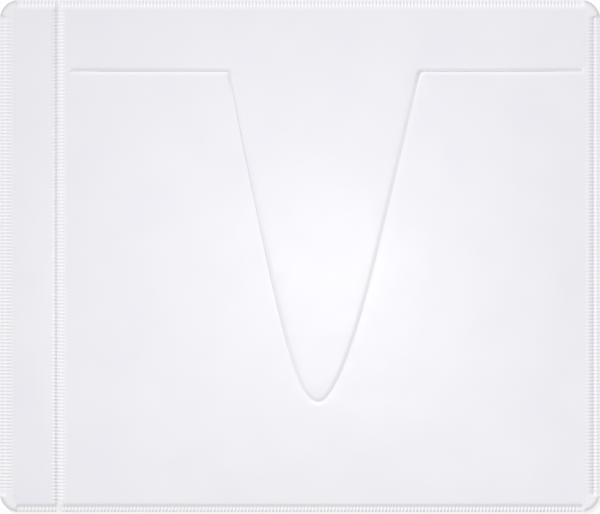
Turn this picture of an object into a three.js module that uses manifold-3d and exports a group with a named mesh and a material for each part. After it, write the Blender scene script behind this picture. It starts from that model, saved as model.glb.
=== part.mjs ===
// A self-adhesive sleeve for one disc. Two films are welded into a pocket, and the pocket turns like
// a page on a narrow strip that sticks to a cover or a leaf with the tape on its back. The front film
// is cut by a straight slit, where the disc goes in, and by a long tongue that closes the slit.
// Millimetres. +Z is up out of the front film, +Y points to the slit, and the origin lies on the
// surface that the sleeve rests on, under the middle of its outline.
import * as THREE from 'three';
import { mergeVertices } from 'three/addons/utils/BufferGeometryUtils.js';
import Module from 'manifold-3d';

const wasm = await Module();
wasm.setup();

// The disc, and the spare height that lets it slide between the films
const discDiameter = 120;
const discThickness = 1.2;
const discPlay = 0.3;

// Films, tape and liner
const film = 0.2;
const tapeThickness = 0.15;
const linerThickness = 0.1;
const tapeInset = 2.5;
const tapeEndInset = 5;
const linerOverhang = 1;
const linerGrip = 3;
const linerCorner = 1.5;

// Shoulders: how far in from a weld the front film takes to climb to the height of the disc
const foldShoulder = 6;
const rightShoulder = 4;
const endShoulder = 1.5;

// Welds: their widths, and the bead outside the pressed line, wider where the trim runs further out
const leftWeld = 3.25;
const rightWeld = 3.5;
const endWeld = 2.5;
const foldWeld = 1.875;
const stripFilm = 9.5;
const nearBead = 0.9;
const farBead = 1.65;
const rimHeight = 0.25;
const pressedHeight = 0.2;
const outlineRadius = 3;

// Ribs that the welding tool leaves square across every weld
const ribPitch = 0.86;
const ribHeight = 0.1;
const ribMargin = 0.4;
const cornerRelief = 1.5;
const ribsPerPanel = 6;

// Cuts: the hinge lines, the slit and the tongue
const hingeGap = 0.3;
const kerf = 0.3;
const slitBelowTop = 17.8;
const slitFromFoldWeld = 1;
const slitFromRightWeld = 0.75;
const mouthRounding = 0.8;
const tongueOffset = 0.55;
const tongueWidth = 48.1;
const tongueDepth = 82.6;
const tongueStraight = 44;
const tongueTaper = 0.222;
const tongueLean = 1.15;
const tipFullness = 2.2;
const tipPull = 32;

// Smoothness of the round stretches
const cornerSteps = 6;
const tipSteps = 12;
const mouthSteps = 3;

// Heights that follow from the layers
const back = linerThickness + tapeThickness;
const backTop = back + film;
const stripTop = backTop + film;
const discGap = discThickness + discPlay;
const frontUnder = backTop + discGap;
const frontTop = stripTop + discGap;

// Places that follow from the widths, from left to right and from top to bottom
const pocketWidth = foldShoulder + discDiameter + rightShoulder;
const pocketHeight = discDiameter + 2 * endShoulder;
const right = (leftWeld + stripFilm + 2 * foldWeld + pocketWidth + rightWeld) / 2;
const left = -right;
const top = pocketHeight / 2 + endWeld;
const stripLeft = left + leftWeld;
const stripRight = stripLeft + stripFilm;
const foldX = stripRight + foldWeld;
const pocketLeft = foldX + foldWeld;
const pocketRight = pocketLeft + pocketWidth;
const filmTop = pocketHeight / 2;
const filmBottom = -filmTop;
const slitY = top - slitBelowTop;
const tapeReach = top - tapeEndInset;
const panelLeft = pocketLeft + foldShoulder;
const panelRight = pocketRight - rightShoulder;
const panelTop = filmTop - endShoulder;
const panelBottom = filmBottom + endShoulder;
const bead = { left: nearBead, top: nearBead, right: farBead, bottom: farBead };
const cornerRadius = Math.min(outlineRadius, leftWeld - nearBead / 2, rightWeld - nearBead / 2);

const milkyFilm = new THREE.MeshStandardMaterial({ color: 0xe9e8ee, roughness: 0.35, metalness: 0 });
const weldedFilm = new THREE.MeshStandardMaterial({ color: 0xf2f1f6, roughness: 0.25, metalness: 0 });
const tapeFoam = new THREE.MeshStandardMaterial({ color: 0xdfe2dc, roughness: 0.6, metalness: 0 });
const linerPaper = new THREE.MeshStandardMaterial({ color: 0xfaf9f4, roughness: 0.8, metalness: 0 });

// Closed surface from loose triangles: equal corners are joined, triangles without an area are
// left out, and the faces are turned to point outwards.
function closedSurface(triangles) {
  const loose = new THREE.BufferGeometry();
  loose.setAttribute('position', new THREE.Float32BufferAttribute(triangles.flat(2), 3));
  const geometry = mergeVertices(loose);
  const spots = geometry.getAttribute('position');
  const corner = (k) => new THREE.Vector3().fromBufferAttribute(spots, k);
  const kept = [];
  let volume = 0;
  for (let k = 0; k < geometry.index.count; k += 3) {
    const [a, b, c] = [0, 1, 2].map((step) => geometry.index.getX(k + step));
    if (a !== b && b !== c && c !== a) {
      kept.push([a, b, c]);
      volume += corner(a).dot(corner(b).cross(corner(c)));
    }
  }
  geometry.setIndex(kept.flatMap(([a, b, c]) => (volume > 0 ? [a, b, c] : [a, c, b])));
  return geometry;
}

// A rail is a list of spots { s, at } in the order of s, the distance along the weld. Two rails are
// joined by triangles that always step to the nearer of their next spots.
function stitch(railA, railB) {
  const triangles = [];
  let a = 0;
  let b = 0;
  while (a < railA.length - 1 || b < railB.length - 1) {
    const nextA = a < railA.length - 1 ? railA[a + 1].s : Infinity;
    const nextB = b < railB.length - 1 ? railB[b + 1].s : Infinity;
    if (nextA <= nextB) {
      triangles.push([railA[a].at, railB[b].at, railA[a + 1].at]);
      a += 1;
    } else {
      triangles.push([railA[a].at, railB[b].at, railB[b + 1].at]);
      b += 1;
    }
  }
  return triangles;
}

// End of a weld: a fan round the pressed line, from which every other rail can be seen.
function endFace(spots) {
  const hub = spots[3].at;
  return spots.map((spot, k) => [hub, spot.at, spots[(k + 1) % spots.length].at]);
}

// Solid between rails that run round a weld's section, the first after the last.
function railSolid(rails) {
  const sides = rails.flatMap((rail, k) => stitch(rail, rails[(k + 1) % rails.length]));
  const start = endFace(rails.map((rail) => rail[0])).map(([hub, near, far]) => [hub, far, near]);
  const end = endFace(rails.map((rail) => rail[rail.length - 1]));
  return closedSurface([...sides, ...start, ...end]);
}

function asSolid(geometry) {
  const bare = new THREE.BufferGeometry();
  bare.setAttribute('position', geometry.getAttribute('position'));
  bare.setIndex(geometry.index);
  const joined = mergeVertices(bare);
  return new wasm.Manifold(new wasm.Mesh({
    numProp: 3,
    vertProperties: new Float32Array(joined.getAttribute('position').array),
    triVerts: new Uint32Array(joined.index.array),
  }));
}

function cutAway(geometry, tool) {
  const { vertProperties, triVerts } = asSolid(geometry).subtract(asSolid(tool)).getMesh();
  const result = new THREE.BufferGeometry();
  result.setAttribute('position', new THREE.BufferAttribute(vertProperties, 3));
  result.setIndex(new THREE.BufferAttribute(triVerts, 1));
  return result;
}

// Spots along a plain rail: the given stops, and one every few ribs between them.
function plainStations(stops) {
  const stations = [{ s: stops[0], lift: 0 }];
  for (let k = 1; k < stops.length; k += 1) {
    const span = stops[k] - stops[k - 1];
    const count = Math.max(1, Math.round(span / (ribsPerPanel * ribPitch)));
    for (let step = 1; step <= count; step += 1) {
      stations.push({ s: stops[k - 1] + span * step / count, lift: 0 });
    }
  }
  return stations;
}

// Spots along a ribbed rail: a trough and a crest in turn, centred between the two ends.
function ribStations(from, to) {
  const count = Math.floor((to - from - 2 * ribMargin) / ribPitch);
  const start = (from + to - count * ribPitch) / 2;
  const stations = [{ s: from, lift: 0 }];
  for (let step = 0; step <= 2 * count; step += 1) {
    stations.push({ s: start + step * ribPitch / 2, lift: step % 2 });
  }
  stations.push({ s: to, lift: 0 });
  return stations;
}

// Rail at depth d across the weld and height z. `place` turns (s, d, z) into a point of the part.
function rail(place, stops, { d, z, rib = 0 }) {
  const ends = [stops[0], stops[stops.length - 1]];
  const stations = rib > 0 ? ribStations(...ends) : plainStations(stops);
  return stations.map(({ s, lift }) => ({ s, at: place(s, d, z + lift * rib) }));
}

// Section of an outer weld: a rounded bead at the trimmed edge and the pressed line inside it.
// `share` is the part of the bead's width, from 0 at the edge to 1 at the pressed line.
const edgeSection = [
  { share: 0, z: back },
  { share: 0, z: back + rimHeight },
  { share: 0.5, z: stripTop - ribHeight, rib: ribHeight },
  { share: 1, z: back + pressedHeight, rib: ribHeight },
];

// Section of half the fold weld, from the pressed hinge line out to the film.
const foldWidth = foldWeld - hingeGap / 2;
const foldSection = [
  { d: 0, z: back },
  { d: 0, z: back + pressedHeight },
  { d: foldWidth / 3, z: back + pressedHeight, rib: ribHeight },
  { d: foldWidth * 2 / 3, z: (back + pressedHeight + stripTop - ribHeight) / 2, rib: ribHeight },
];

// Inner side of a weld, where both films go on from it.
function weldInside(place, stops, width) {
  const ends = [stops[0], stops[stops.length - 1]];
  return [
    rail(place, stops, { d: width, z: stripTop }),
    ends.map((s) => ({ s, at: place(s, width, back) })),
  ];
}

// Front film that climbs from a weld to the height of the disc. It lies between `from` and `to`
// along the weld, and its two ends are mitred to meet the slopes that it borders on.
function slope(place, width, from, to, climb, mitres) {
  const line = (start, end, d, z) => [start, end].map((s) => ({ s, at: place(s, d, z) }));
  const inner = [from + mitres[0], to - mitres[1], width + climb];
  return railSolid([
    line(from, to, width, stripTop),
    line(...inner, frontTop),
    line(...inner, frontUnder),
    line(from, to, width, backTop),
  ]);
}

// Rail of a side weld, which also runs round the two corners and ends at the top and bottom welds.
function cornerRail(edge, weldWidth, { share, z, rib = 0 }) {
  const sign = edge === 'right' ? 1 : -1;
  const x = sign * (right - share * bead[edge]);
  const cut = sign * (right - weldWidth);
  const radius = cornerRadius * (1 - share / 2);
  const inset = (end) => share * (end > 0 ? bead.top : bead.bottom);
  const turn = (end, step) => {
    const angle = (1 - step / cornerSteps) * Math.PI / 2;
    const across = sign * radius * (Math.cos(angle) - 1);
    const along = end * (top - inset(end) + radius * (Math.sin(angle) - 1));
    return { s: end * (top + 1 - step / cornerSteps), at: [x + across, along, z] };
  };
  const finish = (end) => ({ s: end * (top + 2), at: [cut, end * (top - inset(end)), z] });
  const steps = Array.from({ length: cornerSteps + 1 }, (_, step) => step);
  const reach = top - outlineRadius - cornerRelief;
  const place = (s, d, height) => [x, s, height];
  return [
    finish(-1),
    ...steps.map((step) => turn(-1, step)),
    ...rail(place, [-reach, reach], { d: 0, z, rib }),
    ...steps.reverse().map((step) => turn(1, step)),
    finish(1),
  ];
}

function sideWeld(edge, weldWidth, inside) {
  return railSolid([...edgeSection.map((line) => cornerRail(edge, weldWidth, line)), ...inside]);
}

function endWeldBar(edge, place, stops, inside) {
  const lines = edgeSection.map(({ share, z, rib }) => ({ d: share * bead[edge], z, rib }));
  return railSolid([...lines.map((line) => rail(place, stops, line)), ...inside]);
}

function foldWeldBar(place, stops, inside) {
  return railSolid([...foldSection.map((line) => rail(place, stops, line)), ...inside]);
}

// Each place function measures s along the weld and d inwards from its outer edge.
const onLeft = (s, d, z) => [left + d, s, z];
const onRight = (s, d, z) => [right - d, s, z];
const onTop = (s, d, z) => [s, top - d, z];
const onBottom = (s, d, z) => [s, d - top, z];
const onStripFold = (s, d, z) => [foldX - hingeGap / 2 - d, s, z];
const onPocketFold = (s, d, z) => [foldX + hingeGap / 2 + d, s, z];

const height = [filmBottom, filmTop];
const stripRun = [stripLeft, foldX - hingeGap / 2];
const pocketRun = [foldX + hingeGap / 2, pocketRight];

// The slit runs through the two side slopes as well, and stops just short of the ribs.
function slitCut() {
  const slitLeft = pocketLeft + slitFromFoldWeld;
  const slitRight = pocketRight - slitFromRightWeld;
  const tool = new THREE.BoxGeometry(slitRight - slitLeft, kerf, frontTop);
  tool.translate((slitLeft + slitRight) / 2, slitY, frontTop / 2 + backTop);
  return tool;
}

// Die line of the tongue: straight tapered sides that run on into a full, round tip.
function tongueLine() {
  const middle = (pocketLeft + pocketRight) / 2 - tongueOffset;
  const side = (sign) => (depth) => {
    const half = tongueWidth / 2 - tongueTaper * depth;
    return new THREE.Vector2(middle + sign * half - tongueLean * depth / tongueDepth, slitY - depth);
  };
  const tip = new THREE.Vector2(middle - tongueLean, slitY - tongueDepth);
  const half = (sign) => {
    const edge = side(sign);
    const fullness = new THREE.Vector2(tip.x + sign * tipFullness, tip.y);
    const bend = edge(tongueStraight);
    const curve = new THREE.CubicBezierCurve(bend, edge(tongueStraight + tipPull), fullness, tip);
    return [edge(0), ...curve.getPoints(tipSteps)];
  };
  return [...half(-1), ...half(1).reverse().slice(1)];
}

// The die line moved square to itself, outwards for a positive distance.
function movedLine(points, distance) {
  return points.map((point, k) => {
    const before = points[Math.max(k - 1, 0)];
    const after = points[Math.min(k + 1, points.length - 1)];
    const along = after.clone().sub(before).normalize();
    return new THREE.Vector2(point.x + along.y * distance, point.y - along.x * distance);
  });
}

// Where a moved line meets the level of a slit's edge: its end is slid along its straight side.
function trimmedEnds(points, y) {
  const slide = (end, next) => end.clone().lerp(next, (end.y - y) / (end.y - next.y));
  const last = points.length - 1;
  return [slide(points[0], points[1]), ...points.slice(1, last), slide(points[last], points[last - 1])];
}

function tongueShape() {
  return new THREE.Shape(trimmedEnds(movedLine(tongueLine(), -kerf / 2), slitY - hingeGap / 2));
}

// Front panel: the flat film below the slit, with the tongue's outline cut out of its upper edge.
function panelShape() {
  const edge = slitY - kerf / 2;
  const notch = trimmedEnds(movedLine(tongueLine(), kerf / 2), edge);
  const rounding = (corner, side, sign) => {
    const away = new THREE.Vector2(corner.x + sign * mouthRounding, corner.y);
    const inward = corner.clone().add(side.clone().sub(corner).setLength(mouthRounding));
    return new THREE.QuadraticBezierCurve(away, corner, inward).getPoints(mouthSteps);
  };
  const last = notch.length - 1;
  return new THREE.Shape([
    new THREE.Vector2(panelLeft, panelBottom),
    new THREE.Vector2(panelLeft, edge),
    ...rounding(notch[0], notch[1], -1),
    ...notch.slice(1, last),
    ...rounding(notch[last], notch[last - 1], 1).reverse(),
    new THREE.Vector2(panelRight, edge),
    new THREE.Vector2(panelRight, panelBottom),
  ]);
}

function rectangle(x0, x1, y0, y1) {
  return new THREE.Shape([[x0, y0], [x1, y0], [x1, y1], [x0, y1]].map(([x, y]) => new THREE.Vector2(x, y)));
}

// Liner: wider than the tape all round, with a rounded end to grip. Its square end is the peel line.
function linerShape() {
  const x0 = left + tapeInset - linerOverhang;
  const x1 = foldX - tapeInset + linerOverhang;
  const y0 = -tapeReach;
  const y1 = tapeReach + linerGrip;
  const outline = new THREE.Shape();
  outline.moveTo(x0, y0);
  outline.lineTo(x1, y0);
  outline.lineTo(x1, y1 - linerCorner);
  outline.absarc(x1 - linerCorner, y1 - linerCorner, linerCorner, 0, Math.PI / 2, false);
  outline.lineTo(x0 + linerCorner, y1);
  outline.absarc(x0 + linerCorner, y1 - linerCorner, linerCorner, Math.PI / 2, Math.PI, false);
  return outline;
}

// A flat piece of an even thickness that lies at height z.
function sheet(name, shape, z, thickness, material) {
  const geometry = new THREE.ExtrudeGeometry(shape, {
    depth: thickness,
    bevelEnabled: false,
    curveSegments: cornerSteps,
  });
  const mesh = new THREE.Mesh(geometry, material);
  mesh.name = name;
  mesh.position.z = z;
  return mesh;
}

function piece(name, geometry, material) {
  const mesh = new THREE.Mesh(geometry, material);
  mesh.name = name;
  return mesh;
}

function sideBar(name, edge, place, width) {
  return piece(name, sideWeld(edge, width, weldInside(place, height, width)), weldedFilm);
}

function endBar(name, edge, place, run) {
  return piece(name, endWeldBar(edge, place, run, weldInside(place, run, endWeld)), weldedFilm);
}

function foldBar(name, place) {
  return piece(name, foldWeldBar(place, height, weldInside(place, height, foldWidth)), weldedFilm);
}

function mountingStrip() {
  const outline = rectangle(stripLeft, stripRight, filmBottom, filmTop);
  const tape = rectangle(left + tapeInset, foldX - tapeInset, -tapeReach, tapeReach);
  const strip = new THREE.Group();
  strip.add(
    sheet('adhesive_tape', tape, linerThickness, tapeThickness, tapeFoam),
    sheet('strip_back_film', outline, back, film, milkyFilm),
    sheet('strip_front_film', outline, backTop, film, milkyFilm),
    sideBar('strip_edge_weld', 'left', onLeft, leftWeld),
    endBar('strip_top_weld', 'top', onTop, stripRun),
    endBar('strip_bottom_weld', 'bottom', onBottom, stripRun),
    foldBar('strip_fold_weld', onStripFold),
  );
  return strip;
}

// The front film over the disc: flat in the middle, and sloping down to the welds all round.
function frontFilm() {
  const header = rectangle(panelLeft, panelRight, slitY + kerf / 2, panelTop);
  const alongEnd = (place) => slope(
    place, endWeld, pocketLeft, pocketRight, endShoulder, [foldShoulder, rightShoulder],
  );
  const alongSide = (place, width, climb) => cutAway(
    slope(place, width, filmBottom, filmTop, climb, [endShoulder, endShoulder]), slitCut(),
  );
  const group = new THREE.Group();
  group.add(
    sheet('pocket_header', header, frontUnder, film, milkyFilm),
    sheet('pocket_front_panel', panelShape(), frontUnder, film, milkyFilm),
    piece('pocket_top_slope', alongEnd(onTop), milkyFilm),
    piece('pocket_bottom_slope', alongEnd(onBottom), milkyFilm),
    piece('pocket_fold_slope', alongSide(onPocketFold, foldWidth, foldShoulder), milkyFilm),
    piece('pocket_side_slope', alongSide(onRight, rightWeld, rightShoulder), milkyFilm),
  );
  return group;
}

function pocket() {
  const outline = rectangle(pocketLeft, pocketRight, filmBottom, filmTop);
  const group = new THREE.Group();
  group.add(
    sheet('pocket_back_film', outline, back, film, milkyFilm),
    frontFilm(),
    foldBar('pocket_fold_weld', onPocketFold),
    sideBar('pocket_side_weld', 'right', onRight, rightWeld),
    endBar('pocket_top_weld', 'top', onTop, pocketRun),
    endBar('pocket_bottom_weld', 'bottom', onBottom, pocketRun),
  );
  return group;
}

const sleeve = new THREE.Group();
sleeve.add(
  mountingStrip(),
  sheet('release_liner', linerShape(), 0, linerThickness, linerPaper),
  pocket(),
  sheet('tongue_flap', tongueShape(), frontUnder, film, milkyFilm),
);

export default sleeve;
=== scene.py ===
import math

import bmesh
import bpy
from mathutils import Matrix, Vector


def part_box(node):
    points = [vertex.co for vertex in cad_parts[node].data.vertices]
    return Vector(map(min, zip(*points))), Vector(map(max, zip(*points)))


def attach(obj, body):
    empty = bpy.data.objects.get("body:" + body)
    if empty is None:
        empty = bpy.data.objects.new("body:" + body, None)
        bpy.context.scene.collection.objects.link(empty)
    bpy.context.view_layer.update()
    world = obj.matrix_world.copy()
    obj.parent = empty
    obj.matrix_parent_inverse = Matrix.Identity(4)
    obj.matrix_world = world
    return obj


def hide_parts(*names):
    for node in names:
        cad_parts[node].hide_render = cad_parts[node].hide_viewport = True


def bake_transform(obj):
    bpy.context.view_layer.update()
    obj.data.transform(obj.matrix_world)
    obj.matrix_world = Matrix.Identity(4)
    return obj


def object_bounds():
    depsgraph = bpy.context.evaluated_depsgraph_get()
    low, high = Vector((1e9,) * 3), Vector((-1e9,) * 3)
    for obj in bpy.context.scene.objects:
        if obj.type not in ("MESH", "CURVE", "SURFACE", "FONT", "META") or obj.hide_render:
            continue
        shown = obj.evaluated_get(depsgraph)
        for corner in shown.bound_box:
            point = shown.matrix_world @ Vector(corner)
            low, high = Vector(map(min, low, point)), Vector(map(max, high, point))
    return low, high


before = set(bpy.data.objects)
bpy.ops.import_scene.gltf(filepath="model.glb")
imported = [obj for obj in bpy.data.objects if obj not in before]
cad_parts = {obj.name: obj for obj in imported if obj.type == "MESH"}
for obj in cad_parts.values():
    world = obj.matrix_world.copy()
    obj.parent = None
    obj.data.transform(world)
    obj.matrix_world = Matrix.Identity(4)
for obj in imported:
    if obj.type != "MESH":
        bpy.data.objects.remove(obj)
cad_low, cad_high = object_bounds()

MM = 0.001

# Points nearer than this count as one, and cuts and merges work to the finer step
SAME = 0.001 * MM
FINEST = 0.0001 * MM
# A direction with more than this share of an axis runs nearly along it, or just along it
NEARLY_ALONG = 0.9
ALONG = 0.999
# Faces that meet at more than this angle, in degrees, have a sharp edge between them
SHARP_FROM = 35

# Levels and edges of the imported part
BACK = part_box("pocket_back_film")[0].z
BACK_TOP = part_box("pocket_back_film")[1].z
STRIP_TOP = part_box("strip_front_film")[1].z
FRONT_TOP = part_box("pocket_front_panel")[1].z
STRIP_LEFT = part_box("strip_front_film")[0].x
STRIP_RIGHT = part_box("strip_front_film")[1].x
POCKET_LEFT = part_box("pocket_back_film")[0].x
POCKET_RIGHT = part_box("pocket_back_film")[1].x
FILM_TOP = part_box("pocket_back_film")[1].y
LEFT = cad_low.x
RIGHT = cad_high.x
TOP = cad_high.y
FOLD_X = (STRIP_RIGHT + POCKET_LEFT) / 2
FILM = STRIP_TOP - BACK_TOP
# Films are drawn this far past the welds first, and then trimmed
TRIM = 3 * MM
# Loose sheets are this much thinner than the space that they fill
SLACK = 0.01 * MM

# Slit and tongue. The die leaves hardly any gap in the film.
KERF = 0.02 * MM
SLIT_Y = TOP - 17.8 * MM
SLIT_LEFT = POCKET_LEFT + 1.0 * MM
SLIT_RIGHT = POCKET_RIGHT - 0.75 * MM
MOUTH_ROUNDING = 0.95 * MM
MOUTH_STEPS = 4
TONGUE_MIDDLE = (POCKET_LEFT + POCKET_RIGHT) / 2 - 0.55 * MM
TONGUE_WIDTH = 48.1 * MM
TONGUE_DEPTH = 82.6 * MM
TONGUE_STRAIGHT = 44 * MM
TONGUE_TAPER = 0.222
TONGUE_LEAN = 1.15 * MM
# Down to this depth the left side comes in from its root a little more steeply
ROOT_REACH = 22 * MM
ROOT_INSET = 0.6 * MM
ROOT_STEPS = 6
TIP_FULLNESS_LEFT, TIP_FULLNESS_RIGHT = 3.8 * MM, 2.2 * MM
TIP_PULL = 32 * MM
TIP_STEPS = 28
TONGUE_CURL = 5 * MM

# The lip that the hot die leaves along its cuts: (width of a band, rise over it), from the cut in
LIP_BANDS = (
    (0.12 * MM, 0.020 * MM),
    (0.20 * MM, 0.050 * MM),
    (0.25 * MM, 0.066 * MM),
    (0.25 * MM, 0.050 * MM),
    (0.22 * MM, 0.024 * MM),
)
LIP_DEPTH = sum(rise for _, rise in LIP_BANDS)
# The film's lower side follows by this share, and this much film is left at the cut
LIP_UNDER = 0.4
LIP_EDGE = 0.04 * MM
# How deep the lip is along the slit, and down the tongue's left side and round its right one,
# for the header with its tongue and for the panel
HEADER_LIP = (0.95, 0.75, 0.5)
PANEL_LIP = (1.35, 0.1, 0.4)
# Over these lengths it changes from the slit's depth to the tongue's, below the slit, and from
# the left side's to the right one's, which starts this far left of the tongue's middle
LIP_CHANGE = 5 * MM
LIP_TURN = 8 * MM
LIP_TURN_FROM = 12 * MM
# It runs out over this length round each end of the slit, where cuts lie at shares of it
LIP_ENDS = 0.8 * MM
LIP_END_CUTS = (-0.45, -0.15, 0.15, 0.45)

# The front film stands off the back film by the disc's thickness, and bellies out towards that
BELLY = FRONT_TOP - STRIP_TOP
BELLY_REACH = 60 * MM
BELLY_POWER = 1.4
SHEET_CELL = 4 * MM
NEAR_SLIT = 1.5 * SHEET_CELL
STRIP_CELLS = 12
STRIP_BELLY = 0.06 * MM
STRIP_BELLY_POWER = 8

# Welds: a rounded bead along the trimmed edge, a pressed line, and ribs square across both.
# The tool ends where the outline starts to turn, so its corners are plain, with painted shade along
# their cut edge.
OUTLINE_RADIUS = 4.75 * MM
OUTLINE_STEPS = 24
SIDE_WELD_LEFT = STRIP_LEFT - LEFT
SIDE_WELD_RIGHT = RIGHT - POCKET_RIGHT
END_WELD = TOP - FILM_TOP
# Width and rise of the bead
TOP_LEFT_BEAD = 0.9 * MM
RIGHT_BEAD = 1.45 * MM
BOTTOM_BEAD = 1.1 * MM
BEAD_RISE = 0.01 * MM
RIGHT_BEAD_RISE = 0.04 * MM
# Its rim falls away over a width and by a drop, more on the right and below, in the shade
RIM = 0.35 * MM
RIGHT_RIM = 0.9 * MM
RIM_DROP = 0.02 * MM
SHADED_RIM_DROP = 0.06 * MM
# Round the corners the rim is wider, drops this far, and is painted darker, which is painted shade
CORNER_RIM = 1.1 * MM
CORNER_RIM_DROP = 0.05 * MM
# How soon a weld turns plain towards a corner
CORNER_FADE = 0.2
# Lengths of the step up to the bead, and of the climb from the pressed line to the films
STEEP = 0.5 * MM
FLANK = 1.1 * MM
SIDE_FLANK = 0.9 * MM
# A vertex this near to a weld's inner line belongs to it, and moves to a corner this near
RING_CATCH = 0.1 * MM
CORNER_CATCH = 0.3 * MM
# One more line of vertices runs this far before the films
FILMS_CUT = 0.5 * MM
# Lines of vertices round an outer weld, from the outline in
RING_LINES = tuple(d * MM for d in (0.08, 0.25, 0.5, 0.75, 1, 1.2, 1.4, 1.6, 1.8, 2, 2.5))
RIB_PITCH = 0.86 * MM
RIB_RISE = 0.06 * MM
# Share of that on the left and on the right, and at the inner end and at the rim of the ends
LEFT_RIBS, RIGHT_RIBS = 0.68, 0.56
TOP_RIBS = (1.15, 0.7)
BOTTOM_RIBS = (0.6, 1.6)
# Stations to a rib, which are cut out of long edges in coarser pieces first
RIB_STATIONS = 4
COARSE_STATIONS = 8
LONG_EDGE = 8 * MM
# Ribs rise over the first length from the rim, and fade over the second before the films
RIB_START = 0.12 * MM
RIB_FADE = 0.5 * MM
# Ribs of the ends stop this far in, fade over the next length, and change share over the last
END_RIB_REACH = 2.3 * MM
END_RIB_FADE = 1.4 * MM
END_RIB_CHANGE = 1.2 * MM
# No rib stands this near to a corner, and they rise over as much again
CORNER_RELIEF = 0.5 * MM

# The fold weld: its lines of vertices on each side, the thin web along its middle, how deep it
# is pressed and how far out, and the crest beside the films
FOLD_LINES = tuple(d * MM for d in (0.12, 0.4, 0.65, 0.95, 1.35, 1.7))
FOLD_WEB = 0.15 * MM
FOLD_PRESSED = 0.5 * FILM
FOLD_REACH_LEFT, FOLD_REACH_RIGHT = 1.25 * MM, 1.5 * MM
FOLD_CREST = 0.04 * MM
FOLD_CREST_FADE = 0.8 * MM
# The strip's side of it is painted darker than the pocket's by this share, which is painted shade
FOLD_STRIP_SHADE = 0.17
FOLD_STRIP_SHADE_CHANGE = 0.6 * MM
# It ends this far inside the outline, and this length on each side of its line gives two points
# that the script does not use
FOLD_END = 0.3 * MM
FOLD_BEND = 0.45 * MM

# Colour share of fused film: its stretch with painted light and shade on top; 1 is whitened and
# lit, 0 is clear and shaded, and plain is between
PLAIN = 2 / 3

# The liner has two round corners and lies flat; the last length gives two points from its square
# end that the script does not use
LINER_RADIUS = 1.5 * MM
LINER_CELLS = 160
LINER_BEND = 8 * MM

# The table lies just under the sleeve, and the camera sees this share of it as plain white
TABLE_SIZE = 6
TABLE_DROP = 0.02 * MM
TABLE_WHITE = 0.75
# The camera looks straight down from far off. Its own sizes are in millimetres
SHOWN_WIDTH = 150 * MM
SHOWN_MIDDLE = (0, -0.25 * MM)
SENSOR_WIDTH = 36
FOCAL_LENGTH = 200
# The lamp above lights the film most round this spot
GLOW = Vector((17 * MM, -18 * MM, 0))


def smooth(value):
    """Smooth step from 0 to 1."""
    value = min(max(value, 0.0), 1.0)
    return value * value * (3 - 2 * value)


# Making meshes by hand


def nothing_selected():
    bpy.ops.object.select_all(action="DESELECT")


def rectangle(name, x0, x1, y0, y1, z):
    nothing_selected()
    bpy.ops.mesh.primitive_plane_add(size=1, location=((x0 + x1) / 2, (y0 + y1) / 2, z))
    piece = bpy.context.object
    piece.name = piece.data.name = name
    piece.scale = (x1 - x0, y1 - y0, 1)
    bpy.ops.object.transform_apply(location=True, rotation=True, scale=True)
    return piece


def filled_outline(name, points):
    """A flat face inside a closed line of points, at level 0."""
    nothing_selected()
    count = len(points)
    mesh = bpy.data.meshes.new(name)
    edges = [(k, (k + 1) % count) for k in range(count)]
    mesh.from_pydata([(x, y, 0) for x, y in points], edges, [])
    piece = bpy.data.objects.new(name, mesh)
    bpy.context.scene.collection.objects.link(piece)
    edit(piece)
    bpy.ops.mesh.select_all(action="SELECT")
    bpy.ops.mesh.edge_face_add()
    bpy.ops.mesh.normals_make_consistent(inside=False)
    done()
    if piece.data.polygons[0].normal.z < 0:
        piece.data.flip_normals()
    return piece


def edit(piece, kind="FACE"):
    nothing_selected()
    piece.select_set(True)
    bpy.context.view_layer.objects.active = piece
    bpy.ops.object.mode_set(mode="EDIT")
    bpy.ops.mesh.select_mode(type=kind)
    bpy.ops.mesh.select_all(action="DESELECT")


def done():
    bpy.ops.object.mode_set(mode="OBJECT")


def choose(piece, kind, test):
    """In edit mode, selects the "verts", "edges" or "faces" that pass the test."""
    shape = bmesh.from_edit_mesh(piece.data)
    for part in getattr(shape, kind):
        part.select_set(False)
    for part in getattr(shape, kind):
        if test(part):
            part.select_set(True)
    bmesh.update_edit_mesh(piece.data)


def cut_flat(at, normal, drop=False):
    """In edit mode, cuts along a plane, and with drop takes off and closes what is beyond it."""
    bpy.ops.mesh.select_all(action="SELECT")
    bpy.ops.mesh.bisect(
        plane_co=at, plane_no=normal, clear_outer=drop, use_fill=drop, threshold=FINEST
    )


def thickened(piece, thickness, upwards):
    """Turns a flat sheet into a plate, whose other side lies above the sheet or below it."""
    solid = piece.modifiers.new("body", "SOLIDIFY")
    solid.thickness = thickness
    solid.offset = 1 if upwards else -1
    nothing_selected()
    piece.select_set(True)
    bpy.context.view_layer.objects.active = piece
    bpy.ops.object.modifier_apply(modifier=solid.name)


def moved(piece, place):
    """Moves every vertex to where place(co) says."""
    for vertex in piece.data.vertices:
        vertex.co = place(vertex.co)
    piece.data.update()


def finished(piece, material):
    """Smooth over gentle folds and sharp at edges, with outward faces."""
    edit(piece)
    bpy.ops.mesh.select_all(action="SELECT")
    bpy.ops.mesh.remove_doubles(threshold=FINEST)
    bpy.ops.mesh.normals_make_consistent(inside=False)
    done()
    bpy.ops.object.shade_smooth_by_angle(angle=math.radians(SHARP_FROM))
    piece.data.materials.clear()
    piece.data.materials.append(material)
    return piece


# Finishes


def new_material(name, color, roughness, alpha=1.0):
    material = bpy.data.materials.new(name)
    material.use_nodes = True
    shader = material.node_tree.nodes["Principled BSDF"]
    shader.inputs["Base Color"].default_value = (*color, 1)
    shader.inputs["Roughness"].default_value = roughness
    shader.inputs["Alpha"].default_value = alpha
    return material, material.node_tree, shader


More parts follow.
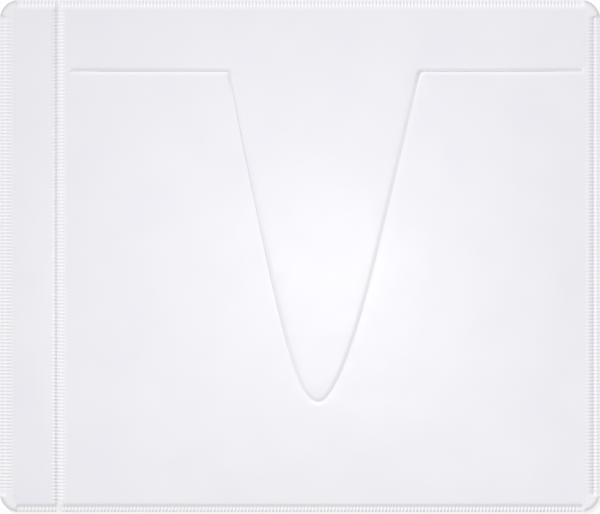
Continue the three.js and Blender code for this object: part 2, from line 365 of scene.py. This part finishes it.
def grain(tree, scale, stretch=(1, 1, 1), detail=3.0):
    """Noise on the piece's own place, of so many lumps to the metre."""
    place = tree.nodes.new("ShaderNodeTexCoord")
    turn = tree.nodes.new("ShaderNodeMapping")
    turn.inputs["Scale"].default_value = stretch
    noise = tree.nodes.new("ShaderNodeTexNoise")
    noise.inputs["Scale"].default_value = scale
    noise.inputs["Detail"].default_value = detail
    tree.links.new(place.outputs["Object"], turn.inputs["Vector"])
    tree.links.new(turn.outputs["Vector"], noise.inputs["Vector"])
    return noise.outputs["Fac"]


def between(tree, factor, low, high, low_at=0.3, high_at=0.7):
    """Colour ramp from low to high as the factor goes from low_at to high_at."""
    ramp = tree.nodes.new("ShaderNodeValToRGB")
    ramp.color_ramp.elements[0].position = low_at
    ramp.color_ramp.elements[1].position = high_at
    ramp.color_ramp.elements[0].color = (*low, 1)
    ramp.color_ramp.elements[1].color = (*high, 1)
    tree.links.new(factor, ramp.inputs["Fac"])
    return ramp.outputs["Color"]


def span(tree, factor, low, high):
    """A number from low to high as the factor goes from 0 to 1."""
    scale = tree.nodes.new("ShaderNodeMapRange")
    scale.inputs["To Min"].default_value = low
    scale.inputs["To Max"].default_value = high
    tree.links.new(factor, scale.inputs["Value"])
    return scale.outputs["Result"]


def bumps(tree, height, depth, strength, below=None):
    bump = tree.nodes.new("ShaderNodeBump")
    bump.inputs["Distance"].default_value = depth
    bump.inputs["Strength"].default_value = strength
    tree.links.new(height, bump.inputs["Height"])
    if below is not None:
        tree.links.new(below, bump.inputs["Normal"])
    return bump.outputs["Normal"]


def milky_film():
    """Cast film: a faint haze, long draw lines from the roll, and a fine matte grain."""
    material, tree, shader = new_material(
        "milky_film", color=(0.82, 0.81, 0.86), roughness=0.385, alpha=0.92
    )
    haze = grain(tree, scale=70, detail=2)
    color = between(tree, haze, low=(0.815, 0.805, 0.855), high=(0.835, 0.825, 0.87))
    tree.links.new(color, shader.inputs["Base Color"])
    sheen = span(tree, grain(tree, scale=260), low=0.355, high=0.415)
    tree.links.new(sheen, shader.inputs["Roughness"])
    roll_lines = grain(tree, scale=600, stretch=(1, 0.04, 1), detail=2)
    waves = bumps(tree, grain(tree, scale=45, detail=1), depth=0.3 * MM, strength=0.25)
    lines = bumps(tree, roll_lines, depth=0.02 * MM, strength=0.3, below=waves)
    matte = grain(tree, scale=5200, detail=2)
    fine = bumps(tree, matte, depth=0.01 * MM, strength=0.5, below=lines)
    tree.links.new(fine, shader.inputs["Normal"])
    return material


def welded_film():
    """Film fused by the hot tool: darker and glossier in the troughs and lighter on the ribs,
    partly stress whitening and partly painted shade and light, with painted shade at the corner
    rims and on the fold's strip side.
    """
    material, tree, shader = new_material(
        "welded_film", color=(0.82, 0.815, 0.85), roughness=0.38, alpha=0.95
    )
    stress_and_shade = tree.nodes.new("ShaderNodeAttribute")
    stress_and_shade.attribute_name = "stress_and_shade"
    stretch_and_shade = stress_and_shade.outputs["Fac"]
    # Painted shade and light: the clear colour is partly the fused film's clarity and partly
    # painted shade in rib troughs, at corner rims and on the fold's strip side; the whitened colour
    # is partly stress whitening and partly painted light on rib crests
    clear, whitened_and_lit = (0.635, 0.626, 0.67), (0.92, 0.915, 0.94)
    color = between(tree, stretch_and_shade, low=clear, high=whitened_and_lit, low_at=0, high_at=1)
    tree.links.new(color, shader.inputs["Base Color"])
    tree.links.new(span(tree, stretch_and_shade, low=0.26, high=0.44), shader.inputs["Roughness"])
    fine = bumps(tree, grain(tree, scale=3000, detail=2), depth=0.01 * MM, strength=0.4)
    tree.links.new(fine, shader.inputs["Normal"])
    return material


def adhesive():
    """Double-sided tape: tissue soaked with adhesive, slightly yellow and full of fibres."""
    material, tree, shader = new_material(
        "adhesive_tissue", color=(0.8, 0.79, 0.72), roughness=0.5
    )
    fibres = grain(tree, scale=900, stretch=(1, 0.25, 1), detail=4)
    color = between(tree, fibres, low=(0.76, 0.745, 0.67), high=(0.85, 0.84, 0.78))
    tree.links.new(color, shader.inputs["Base Color"])
    felted = bumps(tree, fibres, depth=0.03 * MM, strength=0.5)
    tree.links.new(felted, shader.inputs["Normal"])
    return material


def glassine():
    """Release liner: calendered paper with a silicone sheen and a cloudy formation."""
    material, tree, shader = new_material(
        "liner_paper", color=(0.9, 0.9, 0.87), roughness=0.4
    )
    clouds = grain(tree, scale=420, detail=5)
    color = between(tree, clouds, low=(0.86, 0.855, 0.82), high=(0.93, 0.93, 0.905))
    tree.links.new(color, shader.inputs["Base Color"])
    sheen = span(tree, clouds, low=0.36, high=0.5)
    tree.links.new(sheen, shader.inputs["Roughness"])
    relief = bumps(tree, clouds, depth=0.02 * MM, strength=0.3)
    tree.links.new(relief, shader.inputs["Normal"])
    return material


# Welds


def outline_distance(x, y):
    """How far inside the rounded outline a point lies, and the direction of the nearest edge."""
    qx = abs(x) - (RIGHT - OUTLINE_RADIUS)
    qy = abs(y) - (TOP - OUTLINE_RADIUS)
    if qx > 0 and qy > 0:
        reach = math.hypot(qx, qy)
        along_x, along_y = qx / reach, qy / reach
        inside = OUTLINE_RADIUS - reach
    else:
        inside = OUTLINE_RADIUS - max(qx, qy)
        along_x, along_y = (1, 0) if qx > qy else (0, 1)
    return inside, math.copysign(along_x, x), math.copysign(along_y, y)


def weld_width(x, to_x, to_y):
    """Width of an outer weld square to the edge, also round the corners."""
    side = SIDE_WELD_RIGHT if x > 0 else SIDE_WELD_LEFT
    across = (OUTLINE_RADIUS - side) / max(abs(to_x), SAME)
    along = (OUTLINE_RADIUS - END_WELD) / max(abs(to_y), SAME)
    return OUTLINE_RADIUS - min(across, along)


def rib_wave(place, start, end, corners=()):
    """Ribs at an even pitch from start to end: 1 on a crest, -1 in a trough, 0 at the corners."""
    count = whole_pitches(abs(end - start))
    away = min((abs(place - corner) for corner in corners), default=TOP)
    wave = math.cos(2 * math.pi * (place - start) * count / (end - start))
    return wave * min(max(away / CORNER_RELIEF - 1, 0), 1)


def pressed_share(x):
    """How far the fold line is pressed down at x: 1 along it and 0 away from it."""
    reach = FOLD_REACH_LEFT if x < FOLD_X else FOLD_REACH_RIGHT
    return 0.5 + 0.5 * math.cos(math.pi * min(abs(x - FOLD_X) / reach, 1))


def weld_ribs(x, y, corner, cut):
    """Ribs of an outer weld, as a share of their rise."""
    inside, to_x, to_y = outline_distance(x, y)
    rib = 0
    if abs(to_x) > ALONG:
        side = TOP - OUTLINE_RADIUS
        rib = rib_wave(y, -side, side, (-side, side))
        rib *= smooth((weld_width(x, to_x, to_y) - inside) / RIB_FADE)
        rib *= RIGHT_RIBS if x > 0 else LEFT_RIBS
    elif abs(to_y) > ALONG:
        inner, outer = TOP_RIBS if y > 0 else BOTTOM_RIBS
        rib = rib_wave(x, corner, cut, (corner,))
        rib *= smooth((END_RIB_REACH - inside) / END_RIB_FADE)
        rib *= outer + (inner - outer) * smooth(inside / END_RIB_CHANGE)
    return rib * smooth(inside / RIB_START) * (1 - pressed_share(x))


def weld_level(x, y, corner, cut):
    """Level of an outer weld's upper side, and its colour share there: the tool's stretch, with
    painted light and shade on the ribs and painted shade at the corner rims.
    """
    inside, to_x, to_y = outline_distance(x, y)
    rightward, downward = max(to_x, 0) ** 2, max(-to_y, 0) ** 2
    bead = TOP_LEFT_BEAD
    bead += (RIGHT_BEAD - TOP_LEFT_BEAD) * rightward + (BOTTOM_BEAD - TOP_LEFT_BEAD) * downward
    rise = BEAD_RISE + (RIGHT_BEAD_RISE - BEAD_RISE) * rightward
    drop = RIM_DROP + (SHADED_RIM_DROP - RIM_DROP) * max(rightward, downward)
    # Turns from 0 on the straight edges to 1 round the corners
    turned = smooth(4 * (to_x * to_y) ** 2 / CORNER_FADE)
    rim_width = RIM + (RIGHT_RIM - RIM) * rightward
    rim = 1 - smooth(inside / (rim_width + (CORNER_RIM - rim_width) * turned))
    if inside < bead:
        level = FILM + rise * smooth((bead - inside) / STEEP) - drop * rim
    else:
        flank = FLANK + (SIDE_FLANK - FLANK) * to_x**2
        flank = min(weld_width(x, to_x, to_y) - bead, flank)
        level = FILM * (1 + smooth((inside - bead) / flank))
    level += (2 * FILM - CORNER_RIM_DROP * rim - level) * turned
    level += (FOLD_PRESSED - level) * pressed_share(x)
    rib = weld_ribs(x, y, corner, cut)
    # The colour share is lighter on rib crests and darker in troughs, partly stress whitening and
    # partly painted light and shade, and darker still at the corner rims, which is painted shade
    return BACK + level + RIB_RISE * rib, PLAIN + (1 - PLAIN) * rib - PLAIN * turned * rim


def whole_pitches(length):
    """How many ribs a length takes."""
    return round(length / RIB_PITCH)


def divide(piece, test, length):
    """Divides the long edges that pass the test into stations for the ribs, in two goes."""
    cells = whole_pitches(length) * RIB_STATIONS
    first = COARSE_STATIONS if cells % COARSE_STATIONS == 0 else RIB_STATIONS
    choose(piece, "edges", test)
    bpy.ops.mesh.subdivide(number_cuts=cells // first - 1)
    short = length / (cells // first)
    choose(piece, "edges", lambda edge: test(edge, short * 0.5))
    bpy.ops.mesh.subdivide(number_cuts=first - 1)


def runs_along(axis):
    """Test for edges that run along x (0) or y (1) and are long."""

    def test(edge, shortest=LONG_EDGE):
        gap = edge.verts[1].co - edge.verts[0].co
        return abs(gap[1 - axis]) < SAME and abs(gap[axis]) > shortest

    return test


def weld_frame(name, outer, cut, side_width):
    """A weld on three sides, open where it meets the fold line at x = cut."""
    # Drawn twice as wide first, so that its lines run straight to the cut
    mirrored = 2 * cut - outer
    frame_piece = rectangle(name, min(outer, mirrored), max(outer, mirrored), -TOP, TOP, BACK)
    edit(frame_piece, "VERT")
    bpy.ops.mesh.select_all(action="SELECT")
    bpy.ops.mesh.bevel(
        affect="VERTICES", offset=OUTLINE_RADIUS, segments=OUTLINE_STEPS, profile=0.5
    )
    bpy.ops.mesh.select_mode(type="FACE")
    bpy.ops.mesh.select_all(action="SELECT")
    before = 0
    for line in RING_LINES:
        bpy.ops.mesh.inset(thickness=line - before, depth=0, use_even_offset=True)
        before = line
    bpy.ops.mesh.delete(type="FACE")
    inner = 1 if outer < cut else -1
    cut_flat((cut, 0, 0), (inner, 0, 0))
    choose(frame_piece, "verts", lambda v: (v.co.x - cut) * inner > SAME)
    bpy.ops.mesh.delete(type="VERT")
    divide(frame_piece, runs_along(1), 2 * (TOP - OUTLINE_RADIUS))
    divide(frame_piece, runs_along(0), abs(cut - outer) - OUTLINE_RADIUS)
    done()
    films = outer + inner * side_width

    def squared(co):
        """Widens the side to where the films begin, and squares the inner corners."""
        inside, to_x, to_y = outline_distance(co.x, co.y)
        if abs(inside - END_WELD) > RING_CATCH:
            return co
        out = inside - weld_width(co.x, to_x, to_y)
        spot = co + Vector((to_x, to_y, 0)) * out
        corner = Vector((films, math.copysign(FILM_TOP, co.y), co.z))
        return corner if (spot - corner).length < CORNER_CATCH else spot

    moved(frame_piece, squared)
    edit(frame_piece)
    bpy.ops.mesh.select_all(action="SELECT")
    bpy.ops.mesh.remove_doubles(threshold=SAME)
    cut_flat((films - inner * FILMS_CUT, 0, 0), (1, 0, 0))
    done()
    corner = outer + inner * OUTLINE_RADIUS
    return raised(frame_piece, lambda x, y: weld_level(x, y, corner, cut))


def raised(piece, level):
    """Gives a flat sheet its body: the lower side stays, and the upper side goes to level(x, y)."""
    thickened(piece, FILM, upwards=True)
    # Each vertex keeps a colour share: the film's stretch, with painted light and shade laid on it
    stress_and_shade = piece.data.attributes.new("stress_and_shade", "FLOAT", "POINT")
    for vertex in piece.data.vertices:
        if vertex.co.z > BACK + FILM / 2:
            height, share = level(vertex.co.x, vertex.co.y)
            vertex.co.z = height
            stress_and_shade.data[vertex.index].value = share
        else:
            stress_and_shade.data[vertex.index].value = PLAIN
    piece.data.update()
    return piece


def fold_level(x, y):
    """Level of the fold weld's upper side: a pressed line with a ribbed flank on each side, and its
    colour share, with painted light and shade on the ribs and painted shade on the strip's side.
    """
    across = abs(x - FOLD_X)
    width = POCKET_LEFT - FOLD_X
    crest = math.copysign(FOLD_CREST, x - FOLD_X) * smooth((width - across) / FOLD_CREST_FADE)
    top = STRIP_TOP - BACK + crest
    level = top + (FOLD_PRESSED - top) * pressed_share(x)
    rib = rib_wave(y, -FILM_TOP, FILM_TOP) * smooth((FILM_TOP - abs(y)) / RIB_FADE)
    rib *= smooth((width - across) / RIB_FADE)
    # Painted shade: the strip's side of the pressed line is darker in colour
    clear = FOLD_STRIP_SHADE * smooth((FOLD_X - x) / FOLD_STRIP_SHADE_CHANGE + 0.5)
    return BACK + level + RIB_RISE * rib, PLAIN + (1 - PLAIN) * rib - clear


def fold_bar():
    """The fold weld, which also bridges the hinge line through the two end welds."""
    bar = rectangle("fold_weld", STRIP_RIGHT, POCKET_LEFT, -FILM_TOP, FILM_TOP, BACK)
    edit(bar)
    for line in FOLD_LINES:
        for side in (-1, 1):
            cut_flat((FOLD_X + side * line, 0, 0), (1, 0, 0))
    divide(bar, runs_along(1), 2 * FILM_TOP)

    def web_end(edge):
        ends = [vertex.co for vertex in edge.verts]
        at_end = all(abs(abs(co.y) - FILM_TOP) < SAME for co in ends)
        return at_end and all(abs(co.x - FOLD_X) < FOLD_WEB for co in ends)

    for side in (-1, 1):
        choose(bar, "edges", lambda edge: web_end(edge) and edge.verts[0].co.y * side > 0)
        bpy.ops.mesh.extrude_edges_move(
            TRANSFORM_OT_translate={"value": (0, side * (END_WELD - FOLD_END), 0)}
        )
    done()
    return raised(bar, fold_level)


# Front film


def tongue_line():
    """Die line of the tongue, from its left root round the tip to its right root."""

    def side(sign, depth):
        half = TONGUE_WIDTH / 2 - TONGUE_TAPER * depth
        if sign < 0:
            half -= ROOT_INSET * max(1 - depth / ROOT_REACH, 0) ** 2
        lean = TONGUE_LEAN * depth / TONGUE_DEPTH
        return Vector((TONGUE_MIDDLE + sign * half - lean, SLIT_Y - depth))

    def half_line(sign):
        tip = Vector((TONGUE_MIDDLE - TONGUE_LEAN, SLIT_Y - TONGUE_DEPTH))
        fullness = TIP_FULLNESS_RIGHT if sign > 0 else TIP_FULLNESS_LEFT
        full = tip + Vector((sign * fullness, 0))
        bend = side(sign, TONGUE_STRAIGHT)
        pull = side(sign, TONGUE_STRAIGHT + TIP_PULL)
        points = [side(sign, ROOT_REACH * step / ROOT_STEPS) for step in range(ROOT_STEPS + 1)]
        for step in range(TIP_STEPS + 1):
            t = step / TIP_STEPS
            near = bend.lerp(pull, t).lerp(pull.lerp(full, t), t)
            far = pull.lerp(full, t).lerp(full.lerp(tip, t), t)
            points.append(near.lerp(far, t))
        return points

    return half_line(-1) + half_line(1)[::-1][1:]


def moved_line(points, distance):
    """The die line moved square to itself, outwards for a positive distance."""
    line = []
    last = len(points) - 1
    for k, point in enumerate(points):
        along = (points[min(k + 1, last)] - points[max(k - 1, 0)]).normalized()
        line.append(point + Vector((along.y, -along.x)) * distance)
    return line


def trimmed(points, y):
    """The line with its ends slid along its straight sides to the height y."""

    def slide(end, after):
        return end.lerp(after, (end.y - y) / (end.y - after.y))

    return [slide(points[0], points[1]), *points[1:-1], slide(points[-1], points[-2])]


def whole_side(face, way):
    """The upper or lower side of a film, whose rim and bands are faces with four corners."""
    return face.normal.z * way > NEARLY_ALONG and len(face.verts) > 4


def lipped_film(name, outline, mouths):
    """Film inside an outline, rolled down and thinned along its edges by the hot die."""
    sheet = filled_outline(name, outline)
    edit(sheet, "VERT")
    choose(sheet, "verts", lambda v: any((v.co.xy - at).length < SAME for at in mouths))
    bpy.ops.mesh.bevel(
        affect="VERTICES", offset=MOUTH_ROUNDING, segments=MOUTH_STEPS, profile=0.5
    )
    bpy.ops.mesh.select_mode(type="FACE")
    bpy.ops.mesh.select_all(action="SELECT")
    bpy.ops.mesh.extrude_region_move(TRANSFORM_OT_translate={"value": (0, 0, FILM)})
    for way in (1, -1):
        choose(sheet, "faces", lambda face: whole_side(face, way))
        for width, rise in LIP_BANDS:
            depth = rise if way > 0 else -rise * LIP_UNDER
            bpy.ops.mesh.inset(thickness=width, depth=depth, use_even_offset=True)
    done()
    return sheet


def belly(x, y):
    """How far the front film stands off the back film."""

    def rise(distance):
        share = min(max(distance / BELLY_REACH, 0), 1)
        return 1 - (1 - share) ** BELLY_POWER

    across = rise(x - POCKET_LEFT) * rise(POCKET_RIGHT - x)
    return BELLY * across * rise(FILM_TOP - abs(y))


def near_slit(face):
    return all(abs(vertex.co.y - SLIT_Y) < NEAR_SLIT for vertex in face.verts)


def on_pocket(sheet, bottom, top, lips):
    """Trims a lipped film to the welds, cuts it into cells and lifts it onto its belly."""
    edit(sheet)
    cut_flat((POCKET_LEFT, 0, 0), (-1, 0, 0), drop=True)
    cut_flat((POCKET_RIGHT, 0, 0), (1, 0, 0), drop=True)
    cut_flat((0, bottom, 0), (0, -1, 0), drop=True)
    cut_flat((0, top, 0), (0, 1, 0), drop=True)
    for k in range(1, math.ceil((POCKET_RIGHT - POCKET_LEFT) / SHEET_CELL)):
        cut_flat((POCKET_LEFT + k * SHEET_CELL, 0, 0), (1, 0, 0))
    for k in range(1, math.ceil((top - bottom) / SHEET_CELL)):
        cut_flat((0, bottom + k * SHEET_CELL, 0), (0, 1, 0))
    for share in LIP_END_CUTS:
        for x in (SLIT_LEFT + share * LIP_ENDS, SLIT_RIGHT - share * LIP_ENDS):
            choose(sheet, "faces", near_slit)
            bpy.ops.mesh.bisect(plane_co=(x, 0, 0), plane_no=(1, 0, 0), threshold=FINEST)
    done()
    along_slit, on_left, on_right = lips

    def place(co):
        height = belly(co.x, co.y)
        ends = (min(co.x - SLIT_LEFT, SLIT_RIGHT - co.x) + LIP_ENDS / 2) / LIP_ENDS
        below = smooth((SLIT_Y - co.y - MOUTH_ROUNDING) / LIP_CHANGE)
        rightward = smooth((co.x - TONGUE_MIDDLE + LIP_TURN_FROM) / LIP_TURN)
        round_tongue = on_left + (on_right - on_left) * rightward
        lip = smooth(ends) * (along_slit + (round_tongue - along_slit) * below)
        # The lip stays clear of the back film
        lip = min(lip, (FILM + height - LIP_EDGE) / LIP_DEPTH)
        if co.z > FILM / 2:
            level = (co.z - FILM - LIP_DEPTH) * lip
        else:
            level = -FILM - min((LIP_UNDER * LIP_DEPTH - co.z) * lip, height)
        # Beyond its ends the slit closes, where the film is whole
        on_slit = abs(co.y - SLIT_Y) < KERF
        y = SLIT_Y + (co.y - SLIT_Y) * smooth(ends) if on_slit else co.y
        return Vector((co.x, y, STRIP_TOP + level + height))

    moved(sheet, place)
    return sheet


def header_with_tongue(material):
    edge = SLIT_Y + KERF / 2
    left, right = POCKET_LEFT - TRIM, POCKET_RIGHT + TRIM
    tongue = trimmed(moved_line(tongue_line(), -KERF / 2), edge)
    outline = [(left, edge), *(tuple(point) for point in tongue), (right, edge)]
    outline += [(right, FILM_TOP + TRIM), (left, FILM_TOP + TRIM)]
    mouths = [tongue[0], tongue[-1]]
    sheet = lipped_film("front_film_header", outline, mouths)
    on_pocket(sheet, SLIT_Y - TONGUE_DEPTH - TRIM, FILM_TOP, HEADER_LIP)
    finished(sheet, material)
    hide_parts("pocket_header", "tongue_flap", "pocket_top_slope")
    root, curled = SLIT_Y, SLIT_Y - TONGUE_CURL
    start, end = (TONGUE_MIDDLE, root, FRONT_TOP), (TONGUE_MIDDLE, curled, FRONT_TOP)
    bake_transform(sheet)
    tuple(start)
    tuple(end)


def front_panel(material):
    edge = SLIT_Y - KERF / 2
    left, right = POCKET_LEFT - TRIM, POCKET_RIGHT + TRIM
    notch = trimmed(moved_line(tongue_line(), KERF / 2), edge)
    outline = [(left, -FILM_TOP - TRIM), (right, -FILM_TOP - TRIM), (right, edge)]
    outline += [*(tuple(point) for point in reversed(notch)), (left, edge)]
    sheet = lipped_film("front_film_panel", outline, [notch[0], notch[-1]])
    on_pocket(sheet, -FILM_TOP, SLIT_Y, PANEL_LIP)
    finished(sheet, material)
    slopes = ("pocket_bottom_slope", "pocket_fold_slope", "pocket_side_slope")
    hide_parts("pocket_front_panel", *slopes)
    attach(sheet, "pocket")


def strip_front(material):
    """The strip's own front film, which lies almost flat on the back film."""
    sheet = rectangle("strip_front_sheet", STRIP_LEFT, STRIP_RIGHT, -FILM_TOP, FILM_TOP, STRIP_TOP)
    edit(sheet)
    bpy.ops.mesh.select_all(action="SELECT")
    bpy.ops.mesh.subdivide(number_cuts=STRIP_CELLS - 1)
    done()
    thickened(sheet, FILM - SLACK, upwards=False)

    def place(co):
        across = (co.x - STRIP_LEFT) / (STRIP_RIGHT - STRIP_LEFT)
        along = abs(co.y) / FILM_TOP
        lift = STRIP_BELLY * math.sin(math.pi * across) * (1 - along**STRIP_BELLY_POWER)
        return Vector((co.x, co.y, co.z + lift))

    moved(sheet, place)
    finished(sheet, material)
    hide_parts("strip_front_film")
    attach(sheet, "mounting_strip")


def release_liner(material):
    """The liner under the tape, drawn flat; on the real strip it peels off and folds back at its
    square end.
    """
    low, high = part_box("release_liner")
    sheet = rectangle("release_liner_sheet", low.x, high.x, low.y, high.y, low.z)
    edit(sheet, "VERT")
    choose(sheet, "verts", lambda vertex: vertex.co.y > 0)
    bpy.ops.mesh.bevel(
        affect="VERTICES", offset=LINER_RADIUS, segments=OUTLINE_STEPS, profile=0.5
    )
    bpy.ops.mesh.select_mode(type="FACE")
    for k in range(1, LINER_CELLS):
        y = low.y + k * (high.y - low.y - LINER_RADIUS) / LINER_CELLS
        cut_flat((0, y, 0), (0, 1, 0))
    done()
    thickened(sheet, high.z - low.z - SLACK, upwards=True)
    finished(sheet, material)
    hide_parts("release_liner")
    middle = (low.x + high.x) / 2
    start, end = (middle, low.y, high.z), (middle, low.y + LINER_BEND, high.z)
    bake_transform(sheet)
    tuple(start)
    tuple(end)


def dress(name, material):
    """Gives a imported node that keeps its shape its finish."""
    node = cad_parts[name]
    node.data.materials.clear()
    node.data.materials.append(material)


def sleeve():
    film = milky_film()
    welded = welded_film()
    strip_frame = weld_frame("strip_welds", LEFT, FOLD_X - FOLD_WEB, SIDE_WELD_LEFT)
    finished(strip_frame, welded)
    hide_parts("strip_edge_weld", "strip_top_weld", "strip_bottom_weld")
    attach(strip_frame, "mounting_strip")
    pocket_frame = weld_frame("pocket_welds", RIGHT, FOLD_X + FOLD_WEB, SIDE_WELD_RIGHT)
    finished(pocket_frame, welded)
    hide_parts("pocket_side_weld", "pocket_top_weld", "pocket_bottom_weld")
    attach(pocket_frame, "pocket")
    bar = fold_bar()
    finished(bar, welded)
    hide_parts("strip_fold_weld", "pocket_fold_weld")
    start, end = (FOLD_X - FOLD_BEND, 0, BACK), (FOLD_X + FOLD_BEND, 0, BACK)
    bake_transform(bar)
    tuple(start)
    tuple(end)
    header_with_tongue(film)
    front_panel(film)
    strip_front(film)
    dress("pocket_back_film", film)
    dress("strip_back_film", film)
    dress("adhesive_tape", adhesive())
    release_liner(glassine())


# Stage


def white_for_the_camera(tree, lit, share):
    """A shader that the camera sees partly as plain white, so that shadows stay faint."""
    ray = tree.nodes.new("ShaderNodeLightPath")
    white = tree.nodes.new("ShaderNodeEmission")
    white.inputs["Strength"].default_value = 1
    mix = tree.nodes.new("ShaderNodeMixShader")
    much = tree.nodes.new("ShaderNodeMath")
    much.operation = "MULTIPLY"
    much.inputs[1].default_value = share
    tree.links.new(ray.outputs["Is Camera Ray"], much.inputs[0])
    tree.links.new(much.outputs[0], mix.inputs["Fac"])
    tree.links.new(lit, mix.inputs[1])
    tree.links.new(white.outputs[0], mix.inputs[2])
    return mix.outputs[0]


def table_top():
    """A pale table that is seen from above only, so that the underside can be looked at too."""
    nothing_selected()
    bpy.ops.mesh.primitive_plane_add(size=TABLE_SIZE, location=(0, 0, -TABLE_DROP))
    floor = bpy.context.object
    floor.name = "table_top"
    material = bpy.data.materials.new("table_white")
    material.use_nodes = True
    tree = material.node_tree
    shader = tree.nodes["Principled BSDF"]
    shader.inputs["Base Color"].default_value = (0.9, 0.9, 0.9, 1)
    shader.inputs["Roughness"].default_value = 0.8
    shader.inputs["Specular IOR Level"].default_value = 0
    seen = white_for_the_camera(tree, shader.outputs[0], TABLE_WHITE)
    side = tree.nodes.new("ShaderNodeNewGeometry")
    clear = tree.nodes.new("ShaderNodeBsdfTransparent")
    one_sided = tree.nodes.new("ShaderNodeMixShader")
    tree.links.new(side.outputs["Backfacing"], one_sided.inputs["Fac"])
    tree.links.new(seen, one_sided.inputs[1])
    tree.links.new(clear.outputs[0], one_sided.inputs[2])
    tree.links.new(one_sided.outputs[0], tree.nodes["Material Output"].inputs["Surface"])
    floor.data.materials.append(material)
    floor.visible_diffuse = False
    floor.visible_glossy = False
    floor.visible_transmission = False
    floor.visible_shadow = False


def room():
    world = bpy.data.worlds.new("pale_room")
    bpy.context.scene.world = world
    world.use_nodes = True
    tree = world.node_tree
    fill = tree.nodes["Background"]
    fill.inputs["Color"].default_value = (1, 1, 1, 1)
    fill.inputs["Strength"].default_value = 0.15
    seen = white_for_the_camera(tree, fill.outputs[0], 1)
    tree.links.new(seen, tree.nodes["World Output"].inputs["Surface"])


def lamp(name, at, towards, size, power):
    data = bpy.data.lights.new(name, "AREA")
    data.shape = "DISK"
    data.size = size
    data.energy = power
    light = bpy.data.objects.new(name, data)
    bpy.context.scene.collection.objects.link(light)
    light.location = at
    light.rotation_euler = (Vector(towards) - Vector(at)).to_track_quat("-Z", "Y").to_euler()
    light.visible_camera = False
    return light


def camera():
    data = bpy.data.cameras.new("camera")
    data.sensor_width = SENSOR_WIDTH
    data.lens = FOCAL_LENGTH
    eye = bpy.data.objects.new("camera", data)
    bpy.context.scene.collection.objects.link(eye)
    distance = SHOWN_WIDTH * FOCAL_LENGTH / SENSOR_WIDTH
    eye.location = (*SHOWN_MIDDLE, STRIP_TOP + distance)
    bpy.context.scene.camera = eye


def stage():
    bpy.context.scene.view_settings.view_transform = "Standard"
    table_top()
    room()
    middle = (0, 0, 0)
    lamp("lamp_above", at=GLOW + Vector((0, 0, 0.4)), towards=GLOW, size=0.05, power=0.66)
    upper_left = lamp(
        "lamp_upper_left", at=(-5.8, 8.3, 6.3), towards=middle, size=4.2, power=1455
    )
    # Its mirror image would wash the film out in low views
    upper_left.visible_glossy = False
    lamp("lamp_below", at=(0, 0, -0.6), towards=middle, size=0.5, power=2.5)
    camera()


stage()
sleeve()
